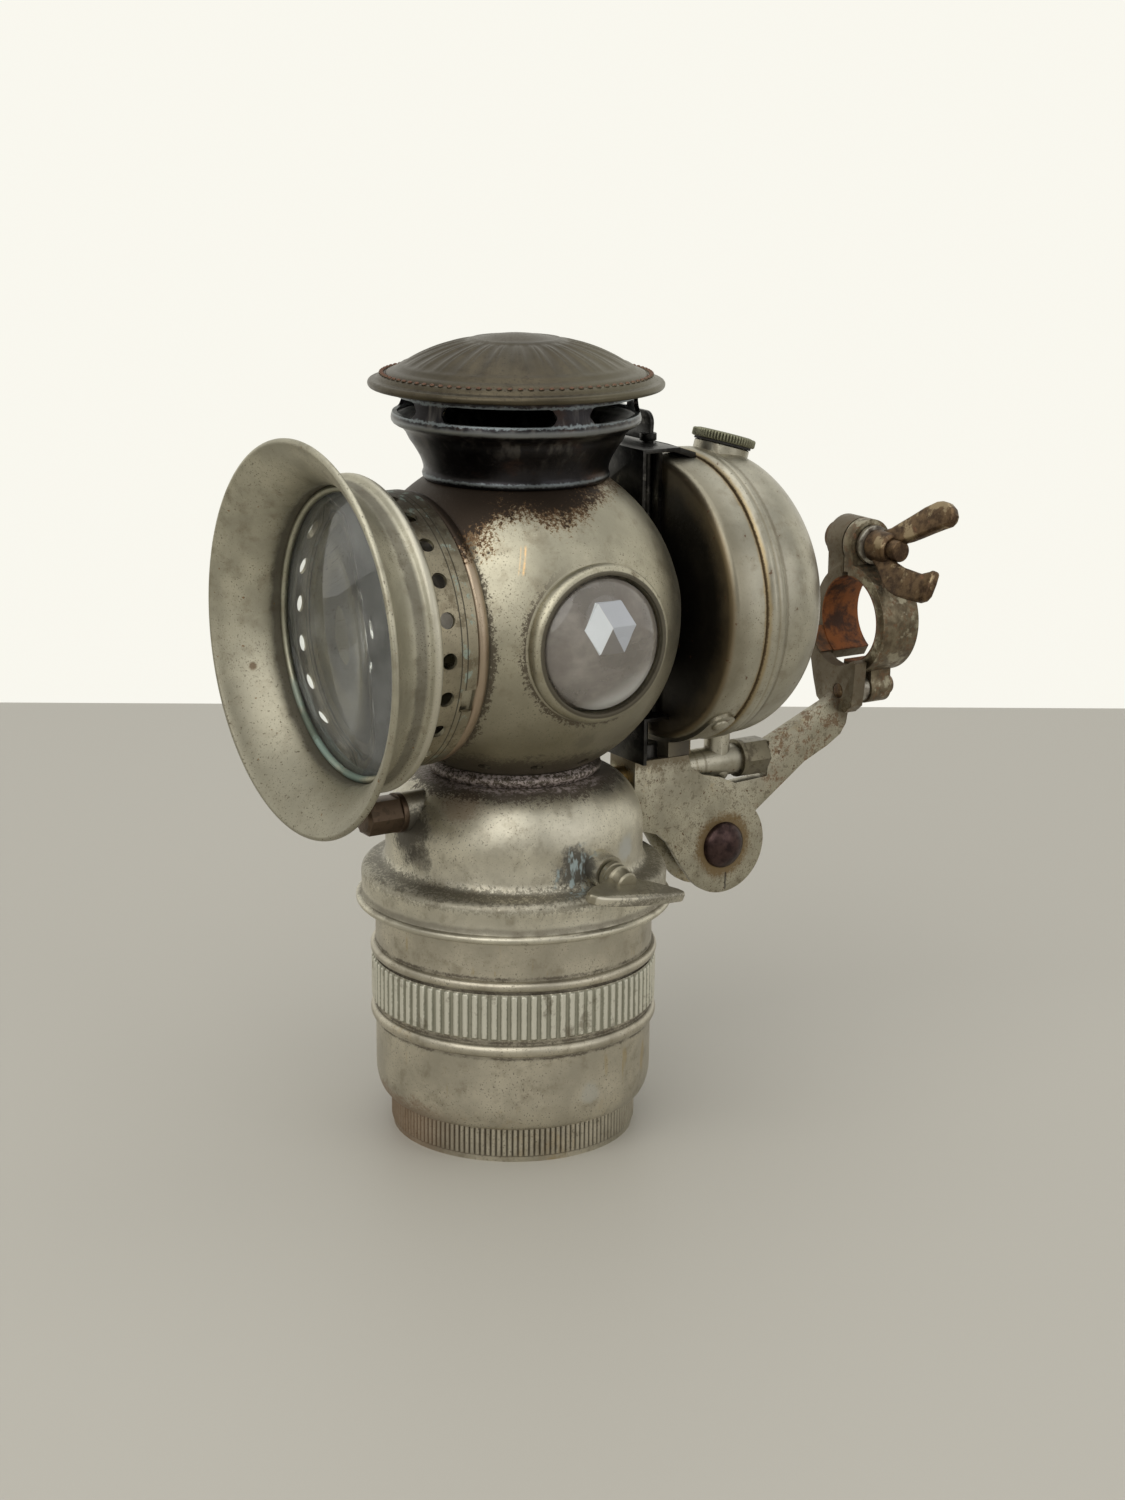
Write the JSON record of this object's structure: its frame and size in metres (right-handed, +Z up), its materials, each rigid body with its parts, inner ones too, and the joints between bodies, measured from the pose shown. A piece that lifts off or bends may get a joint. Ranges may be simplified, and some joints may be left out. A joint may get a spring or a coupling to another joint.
{
  "type": "carbide bicycle lamp",
  "caption": "Acetylene bicycle lamp: carbide cup, drip-fed generator, round lamp body with flared hood and side jewels, vented chimney, rear water tank and folding tube clamp.",
  "frame": {"origin": "centre of the foot's flat underside, on the axis of the carbide cup", "axes": "+Z up along the cup's axis; the beam leaves along -Y; the tank, bracket and clamp are at +Y; +X is the side of the wing screw"},
  "size_m": [0.0822, 0.1503, 0.1692],
  "materials": {
    "cup_plate": "worn nickel plate, satin, with dark pitting and rust at the foot",
    "dome_plate": "worn nickel plate, tarnished in the grooves",
    "ball_plate": "worn nickel plate with heat stain and brown speckle",
    "hood_plate": "worn nickel plate, satin",
    "drum_plate": "worn nickel plate, brown at the holes",
    "chimney_black": "heat-blackened, blue-brown",
    "cap_bronze": "dark olive bronze, embossed",
    "tank_plate": "worn nickel plate, smooth satin",
    "filler_plate": "nickel plate gone greenish",
    "lens_wire": "wire ring with verdigris",
    "inner_brass": "bare brass, dull",
    "bracket_plate": "worn nickel plate on steel, fine pits",
    "jaw_steel": "plate mostly gone, brown with rust",
    "dark_steel": "dark brown steel",
    "rusty_steel": "brown steel with rust",
    "plain_steel": "dull steel",
    "strap_steel": "dark grey steel with bright edges",
    "basket_tin": "dull tin plate",
    "gasket": "old black rubber",
    "felt": "off-white felt",
    "steatite": "unglazed ceramic",
    "lens_glass": "clear, slightly domed",
    "jewel_glass": "clear grey cut glass",
    "silver_mirror": "dull silvered"
  },
  "bodies": {
    "cup": {"carbide_cup": "cup_plate", "foot_ring": "cup_plate", "cup_gasket": "gasket", "carbide_basket": "basket_tin"},
    "head": {"generator_dome": "dome_plate", "filter_plate": "inner_brass", "gas_filter": "felt", "gas_plate": "inner_brass", "gas_tube": "inner_brass", "burner_fork": "inner_brass", "burner_tips": "steatite", "cross_tube": "inner_brass", "drip_tube": "inner_brass", "front_plug_boss": "dome_plate", "front_plug": "dark_steel", "tap_boss": "dome_plate", "body_collar": "dome_plate", "body_shell": "ball_plate", "front_ring": "ball_plate", "rear_plate": "ball_plate", "reflector": "silver_mirror", "right_jewel_rim": "ball_plate", "left_jewel_rim": "ball_plate", "right_jewel": "jewel_glass", "left_jewel": "jewel_glass", "chimney": "chimney_black", "chimney_cap": "cap_bronze", "support_strap": "strap_steel", "tank_front": "tank_plate", "tank_back": "tank_plate", "tank_saddle": "tank_plate", "saddle_rivets": "inner_brass", "filler_neck": "tank_plate", "water_tee": "tank_plate", "rear_plug": "dark_steel", "feed_pipe": "tank_plate", "valve_body": "inner_brass", "bracket_channel": "bracket_plate", "pivot_rivet": "dark_steel", "pivot_washers": "plain_steel"},
    "front": {"front_drum": "drum_plate", "bezel_hood": "hood_plate", "front_glass": "lens_glass", "glass_ring": "lens_wire"},
    "wing_tap": {"wing_screw": "dome_plate"},
    "valve": {"valve_spindle": "strap_steel", "valve_lever": "strap_steel"},
    "filler": {"filler_cap": "filler_plate", "filler_washer": "gasket"},
    "arm": {"bracket_arm": "bracket_plate", "jaw_pin": "rusty_steel", "jaw_spacer": "plain_steel", "clamp_bolt": "rusty_steel"},
    "jaw": {"outer_jaw": "jaw_steel"},
    "washer": {"clamp_washer": "plain_steel"},
    "wing_nut": {"wing_nut": "rusty_steel"}
  },
  "joints": [
    {"name": "head_lift", "type": "slide", "parent": "cup", "child": "head", "axis": [0, 0, 1], "range_m": [0, 0.06]},
    {"name": "front_pull", "type": "slide", "parent": "head", "child": "front", "axis": [0, -1, 0], "range_m": [0, 0.02]},
    {"name": "wing_tap_turn", "type": "hinge", "parent": "head", "child": "wing_tap", "pos_m": [0.027, 0.0038, 0.063], "axis": [0.9686, 0.1361, -0.2079], "continuous": true},
    {"name": "valve_turn", "type": "hinge", "parent": "head", "child": "valve", "pos_m": [0, 0.0326, 0.1], "axis": [0, 0, 1], "range_deg": [-90, 0]},
    {"name": "filler_turn", "type": "hinge", "parent": "head", "child": "filler", "pos_m": [0, 0.0514, 0.1413], "axis": [0, 0.2756, 0.9613], "continuous": true},
    {"name": "arm_fold", "type": "hinge", "parent": "head", "child": "arm", "pos_m": [0, 0.0512, 0.0546], "axis": [1, 0, 0], "range_deg": [-80, 0]},
    {"name": "jaw_open", "type": "hinge", "parent": "arm", "child": "jaw", "pos_m": [0.0015, 0.0942, 0.0848], "axis": [0, 1, 0], "range_deg": [0, 10]},
    {"name": "washer_slide", "type": "slide", "parent": "arm", "child": "washer", "axis": [1, 0, 0], "range_m": [0, 0.007]},
    {"name": "wing_nut_turn", "type": "hinge", "parent": "washer", "child": "wing_nut", "pos_m": [0.005, 0.0932, 0.1173], "axis": [1, 0, 0], "continuous": true}
  ],
  "couplings": [
    {"joint": "washer_slide", "follows": "jaw_open", "m_per_rad": 0.039}
  ]
}
